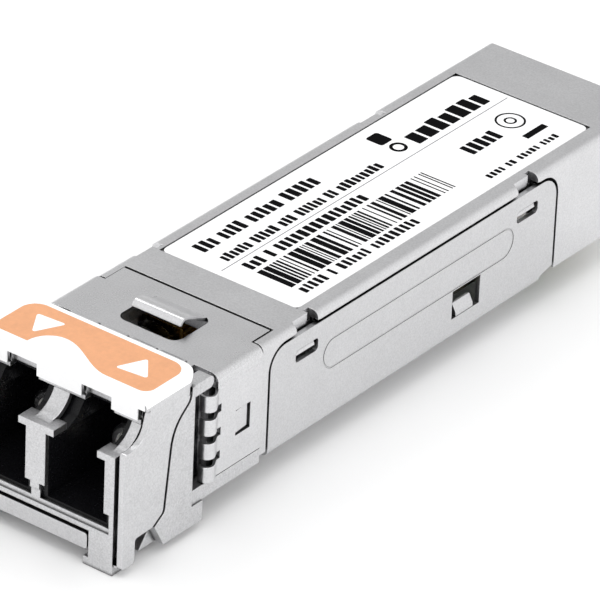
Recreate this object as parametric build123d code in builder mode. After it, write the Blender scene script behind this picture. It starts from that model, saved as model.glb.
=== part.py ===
"""Pluggable optical transceiver: a two-port optical nose with a pull-down bail, a sprung
contact sleeve, a sheet-metal tray under a top cover, and the optics and board inside.

Places are given by two measures: aft, the distance behind the nose's front face, and up,
the height above the underside of the plugged-in body. X is across, zero at the middle.
"""

import os
from math import cos, radians, sin

from build123d import *

os.makedirs("parts", exist_ok=True)

# ---- driving dimensions, mm ------------------------------------------------------------
LENGTH = 55.5  # whole module, front face of the nose to the rear edge of the cover
BODY_WIDTH = 13.4  # the part that enters the cage
BODY_HEIGHT = 8.5
NOSE_WIDTH = 13.9  # outside the cage
NOSE_LENGTH = 8.0  # front face to the stop shoulder
WALL_REAR = 6.9  # rear edge of the nose's outer walls
NOSE_DROP = 1.9  # corner blocks below the body's underside
SKIRT_DROP = 1.3  # nose skirts below the body's underside
BAIL_RISE = 1.25  # top of the bail above the body's top
NOSE_RISE = 0.5  # roof of the nose above the body's top

PORT_PITCH = 6.25  # between the two optical axes
PORT_AXIS_UP = 3.8  # optical axes above the underside
PORT_WIDTH = 4.7  # channel for the square connector body
PORT_HEIGHT = 4.65
FRAME_THICKNESS = 0.35  # front frame round the ports
RAIL_REAR = 1.3  # shoulder rails beside the latch channels
LATCH_CHANNEL_WIDTH = 3.45  # channel over the port for the connector's own latch
LATCH_CHANNEL_TOP = 7.9
FERRULE_BORE = 1.26  # inside diameter of the alignment sleeve

SHEET = 0.35  # tray and cover flanges
SLEEVE_SHEET = 0.25  # contact sleeve
BAIL_SHEET = 0.4  # bail arms
BAIL_BEND = 0.55  # outside radius of the bends along the bail's top
BAIL_FRONT = 2.2  # front and rear edges of the bail's top
BAIL_REAR = 7.5
BAIL_CORNER = 1.45  # rear corners seen from above
BAIL_LIP_UP = 9.15  # lower edge of the lip along the bail's front
BAIL_TAB_UP = 8.3  # lower edge of the tabs below that lip
MIDDLE_TAB = 1.77  # half width of the middle tab
SIDE_TAB = (4.15, 6.2)  # from and to, on each side
WALL = 0.6  # cast walls behind the tray's wings
COVER_ROOF = 0.5
GAP = 0.1  # between pieces that must not touch when they move
SEAM = 0.05  # visible seam between fixed shells
RUNNING = 0.04  # radial clearance of a turning fit

TRAY_FRONT = 14.8
TRAY_REAR = 45.1
TRAY_EDGE_UP = 7.65  # top edge of the tray's wings
WING_CORNER = 1.5  # round upper corners of the wings
PANEL_LENGTH = 20.3  # outline embossed in each wing
PANEL_HEIGHT = 2.25
PANEL_GROOVE = 0.12
PANEL_DEPTH = 0.03
SEAM_GAP = 0.22  # open seam round the tray's wings
SEAM_DEPTH = 0.6  # that seam's depth from the module's side
SHELL_GAP = 0.18  # between the sleeve's rear edge and the cover's side strips
TOP_GAP = 0.28  # between the sleeve's rear edge and the cover's top
COVER_FRONT = 15.95  # front edge of the cover's top
COVER_HORN_FRONT = 13.95  # front edge of the cover's side strips
COVER_SKIRT_UP = 0.5  # lower edge of the cover's full-height side strips
SLEEVE_FRONT = 9.3  # roots of the side contact fingers
SLEEVE_BOTTOM_UP = 1.25
FINGER_COUNT = 4
FINGER_SLIT = 0.56  # between one finger and the next
SLIT_DEPTH = 0.4  # how far the slits run back into the sleeve
FINGER_REACH = 0.30  # how far the fingers stand out of the sleeve
FLAP_FRONT = 11.2  # retaining flaps in the sleeve's sides
FLAP_REAR = 12.65
FLAP_UP = (3.3, 5.15)
FLAP_CLEARANCE = 0.22  # open cut behind and below each flap
TONGUE_RISE = 0.95  # how far the top contact tongue stands out of the sleeve
TONGUE_ROOT = 14.4
TONGUE_HALF = 1.95
TONGUE_WINDOW = (-2.4, 2.4, 10.6, 14.3)  # left, right, front, rear of its window

PIVOT_AFT = 0.85  # bail pivot
PIVOT_UP = -0.60
JOURNAL_RADIUS = 0.55
CRANK_RADIUS = 0.28  # eccentric middle of the bail's shaft
CRANK_THROW = 0.25
ROCKER_PIVOT_AFT = 4.0
ROCKER_PIVOT_UP = -0.10
ROCKER_AXLE_RADIUS = 0.30
ROCKER_HALF = 1.5  # half width of the rocker's rear arm
TUNNEL_CLEARANCE = 0.25
TUNNEL_STEP = 8.9  # where the rocker's tunnel rises to hold the spring
TUNNEL_ROOF_UP = 1.72
BOSS_AFT = 10.5  # locking face of the latch boss
BOSS_DROP = 0.85

BOARD_UP = 2.25  # underside of the circuit board
BOARD_THICKNESS = 1.0
BOARD_WIDTH = 11.2
EDGE_WIDTH = 9.2  # card-edge tongue
BOARD_FRONT = 19.6
BOARD_REAR = 52.3
EDGE_FRONT = 45.6  # where the board narrows to its card edge
CONTACT_PITCH = 0.8
CONTACTS_PER_SIDE = 10
CONTACT_THICKNESS = 0.05

OPTIC_NOSE_RADIUS = 1.45
OPTIC_FLANGE_RADIUS = 2.2
OPTIC_BARREL_RADIUS = 1.9
OPTIC_NOSE_AFT = 5.2
OPTIC_FLANGE_AFT = 9.3
OPTIC_BARREL_AFT = 10.6
CAN_AFT = 14.6
CAN_LENGTH = 1.6
SADDLE_AFT = 11.4
SADDLE_LENGTH = 1.6

LABEL_THICKNESS = 0.06
LABEL_WRAP = 0.35  # how far the bail's label comes down its side bends
FLAP_HALF = 6.75  # half width of that label's front flap
COVER_LABEL = (-5.6, 5.4, 19.0, 50.4)  # left, right, front, rear
LABEL_RECESS = 0.14

# ---- places that follow from them --------------------------------------------------------
HALF_BODY = BODY_WIDTH / 2
HALF_NOSE = NOSE_WIDTH / 2
HALF_CORE = HALF_NOSE - BAIL_SHEET - 0.3  # the nose casting between the bail's arms
BAIL_TOP_UP = BODY_HEIGHT + BAIL_RISE
BAIL_UNDER_UP = BAIL_TOP_UP - BAIL_SHEET
NOSE_ROOF_UP = BODY_HEIGHT + NOSE_RISE
NECK_ROOF_UP = BODY_HEIGHT - SLEEVE_SHEET + SEAM
HALF_SLEEVE = HALF_NOSE - 0.1
HALF_NECK = HALF_SLEEVE - SLEEVE_SHEET
PORT_FLOOR_UP = PORT_AXIS_UP - PORT_HEIGHT / 2
PORT_TOP_UP = PORT_AXIS_UP + PORT_HEIGHT / 2
PORT_X = PORT_PITCH / 2
RAIL_X = PORT_X - LATCH_CHANNEL_WIDTH / 2  # sides of the latch channels next to the middle
INSERT_HALF = PORT_X + PORT_WIDTH / 2 + 0.4
FLOOR_UNDER_UP = 0.62
NECK_UNDER_UP = 0.15
CHAMBER_TOP_UP = 7.5  # roof of the space for the optics
HALF_CHAMBER = 5.6
NOSE_REAR = 18.4  # rear edge of the floor under the optics
FLOOR_TOP_UP = PORT_FLOOR_UP - 0.2
SHOULDER_UP = 6.6  # top of the rails where the nose's arch begins
ARCH_AFT = 2.6  # where the arch meets the roof
ARCH_RADIUS = 2.1
RAMP_THICKNESS = 0.35
CRANK_START = 135.0  # crank angle with the bail closed, from +Y towards +Z
HALF_INSIDE = HALF_BODY - SHEET - WALL
BOARD_TOP_UP = BOARD_UP + BOARD_THICKNESS
PORTS = (-PORT_X, PORT_X)


def aft(distance):
    """Y of a point this far behind the nose's front face."""
    return distance - LENGTH / 2


def up(height):
    """Z of a point this far above the body's underside."""
    return height + NOSE_DROP


def points(*pairs):
    """Side-view corners, aft and up, in the frame's own Y and Z."""
    return [(aft(a), up(b)) for a, b in pairs]


def side_plane(x):
    return Plane.YZ.offset(x)


def front_plane(distance):
    return Plane(origin=(0, aft(distance), 0), x_dir=(1, 0, 0), z_dir=(0, -1, 0))


def block(x_limits, aft_limits, up_limits, mode=Mode.ADD):
    """Box between three pairs of limits."""
    sizes = [abs(high - low) for low, high in (x_limits, aft_limits, up_limits)]
    with Locations((sum(x_limits) / 2, aft(sum(aft_limits) / 2), up(sum(up_limits) / 2))):
        Box(*sizes, mode=mode)


def both_sides(low, high, aft_limits, up_limits, mode=Mode.ADD):
    """The same box on the right and on the left."""
    block((low, high), aft_limits, up_limits, mode)
    block((-high, -low), aft_limits, up_limits, mode)


def side_prism(corners, x_from, x_to, mode=Mode.ADD, radius=0.0):
    """Prism of a straight-sided side view between two X planes, its corners rounded."""
    with BuildSketch(side_plane(x_from)) as profile:
        with BuildLine():
            Polyline(*points(*corners), close=True)
        make_face()
        if radius:
            fillet(profile.vertices(), radius)
    extrude(profile.sketch, amount=x_to - x_from, mode=mode)


def cross_rod(radius, x_from, x_to, distance, height, mode=Mode.ADD):
    """Round bar or bore along X."""
    with BuildSketch(side_plane(x_from)) as section:
        with Locations((aft(distance), up(height))):
            Circle(radius)
    extrude(section.sketch, amount=x_to - x_from, mode=mode)


def axial_rod(radius, x, height, aft_from, aft_to, mode=Mode.ADD):
    """Round bar or bore along Y."""
    with BuildSketch(front_plane(aft_from)) as section:
        with Locations((x, up(height))):
            Circle(radius)
    extrude(section.sketch, amount=aft_from - aft_to, mode=mode)


def wing_outline(x_from, x_to, margin, mode=Mode.ADD):
    """Outline of a tray wing, grown by a margin, between two X planes."""
    front, rear = TRAY_FRONT - margin, TRAY_REAR + margin
    top = TRAY_EDGE_UP + margin
    with BuildSketch(side_plane(x_from)) as wing:
        with BuildLine():
            Polyline(*points((front, -1), (front, top), (rear, top), (rear, -1)), close=True)
        make_face()
        fillet(wing.vertices().group_by(Axis.Y)[-1], WING_CORNER + margin)
    extrude(wing.sketch, amount=x_to - x_from, mode=mode)


def rear_corners(margin):
    """Cuts the round corners of the bail's rear edge, seen from above."""
    width = NOSE_WIDTH + 2 * margin
    with BuildSketch(Plane.XY.offset(up(BODY_HEIGHT))) as corner:
        with Locations((0, aft(BAIL_REAR))):
            Rectangle(width + 1, 2 * BAIL_CORNER)
        with Locations((0, aft(BAIL_REAR) - 2 * BAIL_CORNER)):
            RectangleRounded(width, 4 * BAIL_CORNER, BAIL_CORNER + margin, mode=Mode.SUBTRACT)
    extrude(corner.sketch, amount=2, mode=Mode.SUBTRACT)


def finish(builder, name):
    """Names a finished piece and writes it."""
    builder.part.label = name
    export_step(builder.part, f"parts/{name}.step")


# ---- curves shared by the bail's arms and the nose's side walls ---------------------------
ARM_HEEL = (3.0, 0.50)  # lower rear corner of an arm
ARM_KNEE = (4.0, 1.15)
ARM_SHIN = (4.5, 5.4)
ARM_HIP = (5.6, 7.55)
ARM_NECK = (6.3, 8.2)
ARM_TOP = (6.4, 9.0)
ARM_SEAM = 0.22  # open seam between an arm and the wall behind it


def arm_rear_edge(shift):
    """Rear edge of an arm from its heel to its top, moved aft by the seam."""
    heel, knee, shin, hip, neck, top = [
        points((a + shift, b - shift * 0.5))[0]
        for a, b in (ARM_HEEL, ARM_KNEE, ARM_SHIN, ARM_HIP, ARM_NECK, ARM_TOP)
    ]
    lower = FilletPolyline(heel, knee, shin, radius=0.5)
    Spline(shin, hip, neck, top, tangents=((0.12, 1.0), (0.1, 1.0)))
    return lower


# ---- nose base: the cast frame that carries everything at the front ------------------------
with BuildPart() as nose_base:
    begin, end = points((0.55, SHOULDER_UP), (ARCH_AFT, 8.2))
    under_begin, under_end = points((0.55, SHOULDER_UP - RAMP_THICKNESS),
                                    (ARCH_AFT + RAMP_THICKNESS, 8.12))
    with BuildSketch(side_plane(-HALF_CORE)):
        with BuildLine():
            Polyline(end, *points((ARCH_AFT, NOSE_ROOF_UP), (7.1, NOSE_ROOF_UP), (7.1, 7.95),
                                  (SLEEVE_FRONT, 7.95), (SLEEVE_FRONT, NECK_ROOF_UP),
                                  (COVER_HORN_FRONT - SHELL_GAP, NECK_ROOF_UP),
                                  (COVER_HORN_FRONT - SHELL_GAP, NECK_UNDER_UP),
                                  (NOSE_LENGTH, NECK_UNDER_UP), (NOSE_LENGTH, FLOOR_UNDER_UP),
                                  (0, FLOOR_UNDER_UP),
                                  (0, SHOULDER_UP)), begin)
            RadiusArc(begin, end, -ARCH_RADIUS)
        make_face()
    extrude(amount=2 * HALF_CORE)
    # Neck under the cover's front edge, and the floor that runs back under the optics.
    block((-5.85, 5.85), (COVER_HORN_FRONT - 0.2, COVER_FRONT - TOP_GAP), (7.5, NECK_ROOF_UP))
    block((-HALF_CHAMBER, HALF_CHAMBER), (COVER_HORN_FRONT - 0.2, NOSE_REAR), (SHEET + SEAM, FLOOR_TOP_UP))
    # Neck walls out to the sleeve, and the strips below the sleeve's edge.
    both_sides(HALF_CORE, HALF_NECK, (SLEEVE_FRONT, COVER_HORN_FRONT - SHELL_GAP),
               (NECK_UNDER_UP, 7.9))
    both_sides(HALF_CORE, HALF_SLEEVE, (WALL_REAR, COVER_HORN_FRONT - SHELL_GAP),
               (NECK_UNDER_UP, SLEEVE_BOTTOM_UP - SEAM))
    both_sides(HALF_NECK - 0.4, HALF_NECK + 1, (FLAP_FRONT - 0.1, FLAP_REAR + 0.1),
               (FLAP_UP[0], FLAP_UP[1] + 0.05), Mode.SUBTRACT)
    # Outer side walls behind the bail's arms, with the skirts below them.
    for x_from, x_to in ((HALF_CORE, HALF_NOSE), (-HALF_NOSE, -HALF_CORE)):
        with BuildSketch(side_plane(x_from)):
            with BuildLine():
                arm_rear_edge(ARM_SEAM)
                Polyline(*points((ARM_TOP[0] + ARM_SEAM, ARM_TOP[1] - ARM_SEAM / 2),
                                 (WALL_REAR, ARM_TOP[1] - ARM_SEAM / 2),
                                 (WALL_REAR, NECK_UNDER_UP), (NOSE_LENGTH, NECK_UNDER_UP),
                                 (NOSE_LENGTH, -SKIRT_DROP),
                                 (4.2, -SKIRT_DROP),
                                 (ARM_HEEL[0] + ARM_SEAM, ARM_HEEL[1] - ARM_SEAM / 2)))
            make_face()
        extrude(amount=x_to - x_from)
    side_skirt = ((3.5, FLOOR_UNDER_UP), (NOSE_LENGTH, FLOOR_UNDER_UP),
                  (NOSE_LENGTH, -SKIRT_DROP), (2.6, -SKIRT_DROP), (3.4, -0.25))
    side_prism(side_skirt, HALF_CORE - WALL, HALF_CORE)
    side_prism(side_skirt, -HALF_CORE, -HALF_CORE + WALL)
    # Rounded bar that closes each side wall's top behind the bail's corner.
    for x_from, x_to in ((HALF_CORE - 0.4, HALF_SLEEVE), (-HALF_SLEEVE, 0.4 - HALF_CORE)):
        with BuildSketch(side_plane(x_from)):
            with Locations((aft(7.7), up(8.43))):
                SlotOverall(2.3, 0.86)
        extrude(amount=x_to - x_from)
    # Corner blocks that carry the bail's pivot, with the lips under the rocker's bar.
    block_side = ((0, FLOOR_UNDER_UP), (2.1, FLOOR_UNDER_UP), (2.1, -1.2),
                  (1.5, -NOSE_DROP), (0, -NOSE_DROP))
    for side in (1, -1):
        side_prism(block_side, side * 4.35, side * HALF_CORE)
        block(sorted((side * 3.95, side * 4.35)), (0, 1.5), (-NOSE_DROP, -1.33))
    # Space for the port insert and for the optics behind it.
    block((-INSERT_HALF, INSERT_HALF), (FRAME_THICKNESS, 6.9), (FLOOR_TOP_UP, 8.2),
          Mode.SUBTRACT)
    block((-INSERT_HALF, INSERT_HALF), (6.9, 8.7), (FLOOR_TOP_UP, CHAMBER_TOP_UP),
          Mode.SUBTRACT)
    block((-HALF_CHAMBER, HALF_CHAMBER), (8.7, 20), (FLOOR_TOP_UP, CHAMBER_TOP_UP), Mode.SUBTRACT)
    # Side recesses that the contact fingers curl into, and the well under the top tongue.
    both_sides(INSERT_HALF - 0.1, HALF_CORE + 0.1, (WALL_REAR, SLEEVE_FRONT - 0.2),
               (SLEEVE_BOTTOM_UP - SEAM, 7.55), Mode.SUBTRACT)
    both_sides(HALF_CORE, HALF_NECK + 0.1, (SLEEVE_FRONT - 0.1, SLEEVE_FRONT + SLIT_DEPTH + 0.1),
               (SLEEVE_BOTTOM_UP - SEAM, 7.55), Mode.SUBTRACT)
    left, right, front, rear = TONGUE_WINDOW
    block((left, right), (front, rear - 0.1), (7, 9), Mode.SUBTRACT)
    # Shoulder rails that guide the connector's latch, and carry the feet of the ramps.
    block((-RAIL_X, RAIL_X), (0, RAIL_REAR), (PORT_TOP_UP, SHOULDER_UP))
    both_sides(PORT_X + LATCH_CHANNEL_WIDTH / 2, HALF_CORE, (0, RAIL_REAR),
               (PORT_TOP_UP, SHOULDER_UP))
    # Ramps that follow the arch from each shoulder up to the bars under the bail's tabs.
    for x_from, x_to in ((-0.62, 0.62), (5.5, HALF_CORE), (-HALF_CORE, -5.5)):
        with BuildSketch(side_plane(x_from)):
            with BuildLine():
                RadiusArc(begin, end, -ARCH_RADIUS)
                Line(end, under_end)
                RadiusArc(under_begin, under_end, -ARCH_RADIUS - RAMP_THICKNESS)
                Line(under_begin, begin)
            make_face()
        extrude(amount=x_to - x_from)
    block((-1.85, 1.85), (ARCH_AFT - 0.15, ARCH_AFT + 0.5), (7.9, 8.21))
    both_sides(4.15, HALF_CORE, (ARCH_AFT - 0.15, ARCH_AFT + 0.5), (7.9, 8.21))
    # Lower saddle for the optics.
    block((-HALF_CHAMBER, HALF_CHAMBER), (SADDLE_AFT, SADDLE_AFT + SADDLE_LENGTH),
          (FLOOR_TOP_UP, PORT_AXIS_UP))
    for x in PORTS:
        axial_rod(OPTIC_BARREL_RADIUS, x, PORT_AXIS_UP, SADDLE_AFT - 0.1,
                  SADDLE_AFT + SADDLE_LENGTH + 0.1, Mode.SUBTRACT)
    # Step along the bar below the ports.
    block((-5.9, 5.9), (-0.1, 0.12), (0.95, 1.9), Mode.SUBTRACT)
    # Port mouths through the front frame.
    for x in PORTS:
        half = PORT_WIDTH / 2
        mouth = (-0.1, FRAME_THICKNESS + 0.05)
        block((x - half, x + half), mouth, (2.35, PORT_TOP_UP), Mode.SUBTRACT)
        block((x - half - 0.42, x + half + 0.42), mouth, (FLOOR_TOP_UP, 2.36), Mode.SUBTRACT)
        narrow = LATCH_CHANNEL_WIDTH / 2
        block((x - narrow, x + narrow), mouth, (PORT_TOP_UP - 0.01, 10), Mode.SUBTRACT)
        block((x - half - 0.12, x + half + 0.05), (-0.1, 4), (SHOULDER_UP, 7.9), Mode.SUBTRACT)
    # Notches beside the head of each bar under the bail's tabs.
    both_sides(1.85, 4.15, (1.5, 3.0), (7.8, 8.2), Mode.SUBTRACT)
    both_sides(1.85, 4.15, (ARCH_AFT - 0.5, ARCH_AFT + 0.35), (8.15, 9.5), Mode.SUBTRACT)
    # Tunnel for the rocker, closed by a raised floor between the two optics.
    block((-2.05, 2.05), (8.7, 13.4), (FLOOR_TOP_UP - 0.01, TUNNEL_ROOF_UP))
    for x in PORTS:
        axial_rod(OPTIC_FLANGE_RADIUS + SEAM, x, PORT_AXIS_UP, OPTIC_FLANGE_AFT - SEAM,
                  OPTIC_BARREL_AFT + SEAM, Mode.SUBTRACT)
    tunnel = (-ROCKER_HALF - TUNNEL_CLEARANCE, ROCKER_HALF + TUNNEL_CLEARANCE)
    block(tunnel, (4.6, TUNNEL_STEP), (0, 0.98), Mode.SUBTRACT)
    block(tunnel, (TUNNEL_STEP, 13.1), (0, 1.5), Mode.SUBTRACT)
    # Bores for the bail's shaft and the rocker's axle.
    cross_rod(JOURNAL_RADIUS + RUNNING, -HALF_CORE, HALF_CORE, PIVOT_AFT, PIVOT_UP, Mode.SUBTRACT)
    cross_rod(ROCKER_AXLE_RADIUS, -HALF_NOSE + 0.3, HALF_NOSE - 0.3, ROCKER_PIVOT_AFT,
              ROCKER_PIVOT_UP, Mode.SUBTRACT)
finish(nose_base, "nose_base")

# ---- contact sleeve: sprung sheet round the nose's neck -----------------------------------
with BuildPart() as contact_sleeve:
    block((-HALF_SLEEVE, HALF_SLEEVE), (SLEEVE_FRONT, COVER_HORN_FRONT - SHELL_GAP),
          (SLEEVE_BOTTOM_UP, NECK_ROOF_UP + SLEEVE_SHEET))
    corners = contact_sleeve.edges().filter_by(Axis.Y).group_by(Axis.Z)[-1]
    fillet(corners, 0.6)
    block((-HALF_NECK, HALF_NECK), (SLEEVE_FRONT, COVER_HORN_FRONT), (0, NECK_ROOF_UP),
          Mode.SUBTRACT)
    top = (NECK_ROOF_UP, NECK_ROOF_UP + SLEEVE_SHEET)
    block((-5.85, 5.85), (COVER_HORN_FRONT - 0.5, COVER_FRONT - TOP_GAP), top)
    block((-4.9, 4.9), (SLEEVE_FRONT - 0.3, SLEEVE_FRONT + 0.5), top)
    # Window in the top with the raised contact tongue over it.
    left, right, front, rear = TONGUE_WINDOW
    with BuildSketch(Plane.XY.offset(up(NECK_ROOF_UP) - 1)):
        with Locations(((left + right) / 2, aft((front + rear) / 2))):
            RectangleRounded(right - left, rear - front, 0.7)
    extrude(amount=2, mode=Mode.SUBTRACT)
    middle = NECK_ROOF_UP + SLEEVE_SHEET / 2
    with BuildSketch(side_plane(-TONGUE_HALF)):
        with BuildLine():
            Spline(*points((TONGUE_ROOT, middle), (TONGUE_ROOT - 1.0, middle + 0.45 * TONGUE_RISE),
                           (TONGUE_ROOT - 2.0, middle + 0.95 * TONGUE_RISE),
                           (TONGUE_ROOT - 2.4, middle + TONGUE_RISE),
                           (TONGUE_ROOT - 2.75, middle + 0.66 * TONGUE_RISE)))
        trace(line_width=SLEEVE_SHEET * 0.8)
    extrude(amount=2 * TONGUE_HALF)
    # Side windows with a retaining flap bent into the neck's pocket.
    both_sides(HALF_NECK - 0.1, HALF_SLEEVE + 0.1, (FLAP_FRONT, FLAP_REAR), FLAP_UP,
               Mode.SUBTRACT)
    for side in (1, -1):
        with BuildSketch(Plane.XY.offset(up(FLAP_UP[0] + FLAP_CLEARANCE))):
            with BuildLine():
                Polyline((side * (HALF_SLEEVE - 0.1), aft(FLAP_FRONT - 0.02)),
                         (side * (HALF_SLEEVE - 0.2), aft(FLAP_REAR - FLAP_CLEARANCE)))
            trace(line_width=0.2)
        extrude(amount=FLAP_UP[1] - FLAP_UP[0] - FLAP_CLEARANCE - 0.05)
    # Side contact fingers, rooted at the sleeve's front edge and curling forward and in.
    finger_pitch = (7.5 - SLEEVE_BOTTOM_UP + FINGER_SLIT) / FINGER_COUNT
    for side in (1, -1):
        for finger in range(FINGER_COUNT):
            low = SLEEVE_BOTTOM_UP + finger * finger_pitch
            with BuildSketch(Plane.XY.offset(up(low))):
                with BuildLine():
                    Spline(*[(side * x, aft(a)) for x, a in (
                        (HALF_SLEEVE - 0.1, SLEEVE_FRONT + 0.3),
                        (HALF_SLEEVE + 0.2 * FINGER_REACH, SLEEVE_FRONT - 0.2),
                        (HALF_SLEEVE + 0.8 * FINGER_REACH, SLEEVE_FRONT - 0.62),
                        (HALF_SLEEVE + 0.4 * FINGER_REACH, SLEEVE_FRONT - 0.98),
                        (HALF_SLEEVE - 0.5 * FINGER_REACH, SLEEVE_FRONT - 1.13),
                        (HALF_SLEEVE - 1.6 * FINGER_REACH, SLEEVE_FRONT - 1.06))])
                trace(line_width=0.16)
            extrude(amount=finger_pitch - FINGER_SLIT)
    for slit in range(1, FINGER_COUNT):
        low = SLEEVE_BOTTOM_UP + slit * finger_pitch - FINGER_SLIT
        both_sides(HALF_NECK - 0.1, HALF_SLEEVE + 0.1, (SLEEVE_FRONT - 0.1,
                   SLEEVE_FRONT + SLIT_DEPTH), (low, low + FINGER_SLIT), Mode.SUBTRACT)
    # Top contact fingers, hidden behind the bail's rear edge.
    for x in (-3.45, -1.15, 1.15, 3.45):
        with BuildSketch(side_plane(x - 0.9)):
            with BuildLine():
                Spline(*points((SLEEVE_FRONT, middle), (SLEEVE_FRONT - 0.5, middle + 0.28),
                               (SLEEVE_FRONT - 1.0, middle + 0.05),
                               (SLEEVE_FRONT - 1.25, middle - 0.3)))
            trace(line_width=0.17)
        extrude(amount=1.8)
finish(contact_sleeve, "contact_sleeve")

# ---- upper cover ---------------------------------------------------------------------------
WINDOW_FRONTS = (17.35, 40.75)  # front edges of the tray's hook windows
WINDOW_LENGTH = 2.3
WINDOW_UP = (5.7, 6.6)
with BuildPart() as upper_cover:
    block((-HALF_BODY, HALF_BODY), (COVER_HORN_FRONT, LENGTH), (COVER_SKIRT_UP, BODY_HEIGHT))
    fillet(upper_cover.edges().filter_by(Axis.Y).group_by(Axis.Z)[-1], 0.5)
    skirt_tips = upper_cover.edges().filter_by(Axis.X).group_by(Axis.Y)[-1].sort_by(Axis.Z)[0]
    chamfer(skirt_tips, 1.1)
    # Hollow: open below, thin walls behind the wings, nothing ahead of the top's front edge.
    block((-5.94, 5.94), (COVER_HORN_FRONT - 1, COVER_FRONT), (0, 9), Mode.SUBTRACT)
    block((-HALF_INSIDE, HALF_INSIDE), (COVER_FRONT - 0.1, LENGTH + 1),
          (0, BODY_HEIGHT - COVER_ROOF), Mode.SUBTRACT)
    # Relief for the tray's wings, with a deeper seam round the seat they lie on.
    seat = HALF_BODY - SHEET - SEAM / 2
    for side in (1, -1):
        wing_outline(side * (HALF_BODY - SEAM_DEPTH), side * (HALF_BODY + 1), SEAM_GAP,
                     Mode.SUBTRACT)
        wing_outline(side * (HALF_BODY - SEAM_DEPTH - 0.05), side * seat, -0.05)
    both_sides(HALF_INSIDE - 0.1, seat + 0.1, (TRAY_FRONT - 1, TRAY_REAR + SEAM_GAP), (-1, 3.8),
               Mode.SUBTRACT)
    # Hook tabs behind the wings: notch in the top edge, pocket, tab and hook.
    for front in WINDOW_FRONTS:
        rear = front + WINDOW_LENGTH
        both_sides(5.95, HALF_BODY, (front - 0.1, rear + 0.1), (5.3, 7.9), Mode.SUBTRACT)
        both_sides(HALF_INSIDE - 0.1, HALF_BODY, (front - 0.1, rear + 0.1), (5.3, 6.1),
                   Mode.SUBTRACT)
        both_sides(6.22, HALF_BODY + 0.1, (front, rear - 0.1), (7.6, 9), Mode.SUBTRACT)
        both_sides(5.85, 6.3, (rear - 0.65, rear - 0.1), (7.6, 9), Mode.SUBTRACT)
        both_sides(5.95, 6.22, (front + 0.12, rear - 0.75), (WINDOW_UP[0] + 0.3, 8.1))
        for side in (1, -1):
            with BuildSketch(front_plane(front + 0.1)) as hook:
                with BuildLine():
                    Polyline((side * 6.0, up(6.65)), (side * 6.5, up(6.62)),
                             (side * 6.65, up(6.2)), (side * 6.0, up(5.98)), close=True)
                make_face()
            extrude(hook.sketch, amount=-(WINDOW_LENGTH - 0.42))
    # Recess for the label.
    left, right, front, rear = COVER_LABEL
    block((left - SEAM, right + SEAM), (front - SEAM, rear + SEAM),
          (BODY_HEIGHT - LABEL_RECESS, 9), Mode.SUBTRACT)
    # Ribs that press on the board.
    for rib in (24.0, 38.0):
        both_sides(5.1, HALF_INSIDE + 0.05, (rib, rib + 1.6), (BOARD_TOP_UP, 8.05))
finish(upper_cover, "upper_cover")

# ---- bottom tray ------------------------------------------------------------------------------
with BuildPart() as bottom_tray:
    with BuildSketch(side_plane(-HALF_BODY)) as tray_side:
        with BuildLine():
            Polyline(*points((TRAY_FRONT, 0), (TRAY_FRONT, TRAY_EDGE_UP),
                             (TRAY_REAR, TRAY_EDGE_UP), (TRAY_REAR, 0.8),
                             (TRAY_REAR - 1.25, 0.5), (TRAY_REAR - 1.7, 0)), close=True)
        make_face()
        fillet(tray_side.vertices().group_by(Axis.Y)[-1], WING_CORNER)
    extrude(amount=BODY_WIDTH)
    fillet(bottom_tray.edges().filter_by(Axis.Y).group_by(Axis.Z)[0], 0.45)
    inner = HALF_BODY - SHEET
    block((-inner, inner), (TRAY_FRONT - 1, TRAY_REAR + 1), (SHEET, 9), Mode.SUBTRACT)
    block((-5.5, 5.5), (COVER_HORN_FRONT + 0.1, TRAY_FRONT + 0.5), (0, SHEET))
    for side in (1, -1):
        with BuildSketch(side_plane(side * (inner - 0.1))) as windows:
            for front in WINDOW_FRONTS:
                with Locations((aft(front + WINDOW_LENGTH / 2), up(sum(WINDOW_UP) / 2))):
                    RectangleRounded(WINDOW_LENGTH, WINDOW_UP[1] - WINDOW_UP[0], 0.25)
        extrude(windows.sketch, amount=side * (SHEET + 0.2), mode=Mode.SUBTRACT)
    # Outline of a long stiffening panel pressed into each wing.
    for side in (1, -1):
        with BuildSketch(side_plane(side * HALF_BODY)) as panel:
            with Locations((aft(30.35), up(4.8))):
                SlotOverall(PANEL_LENGTH, PANEL_HEIGHT)
                SlotOverall(PANEL_LENGTH - 2 * PANEL_GROOVE, PANEL_HEIGHT - 2 * PANEL_GROOVE,
                            mode=Mode.SUBTRACT)
        extrude(panel.sketch, amount=-side * PANEL_DEPTH, mode=Mode.SUBTRACT)
    # Lanced windows with a tab bent in under the board.
    both_sides(inner - 0.1, HALF_BODY + 0.1, (34.0, 37.0), (1.5, 3.6), Mode.SUBTRACT)
    for side in (1, -1):
        with BuildSketch(front_plane(34.55)) as tab:
            with BuildLine():
                Polyline((side * (HALF_BODY - SHEET / 2), up(1.4)),
                         (side * (HALF_BODY - SHEET / 2 - 0.05), up(1.75)),
                         (side * (HALF_BODY - SHEET / 2 - 0.35), up(2.3)))
            trace(line_width=SHEET * 0.8)
        extrude(tab.sketch, amount=-1.85)
    # Posts under the board.
    for post in (22.0, 42.0):
        both_sides(4.4, 5.5, (post, post + 1.4), (SHEET - 0.05, BOARD_UP))
finish(bottom_tray, "bottom_tray")

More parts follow.
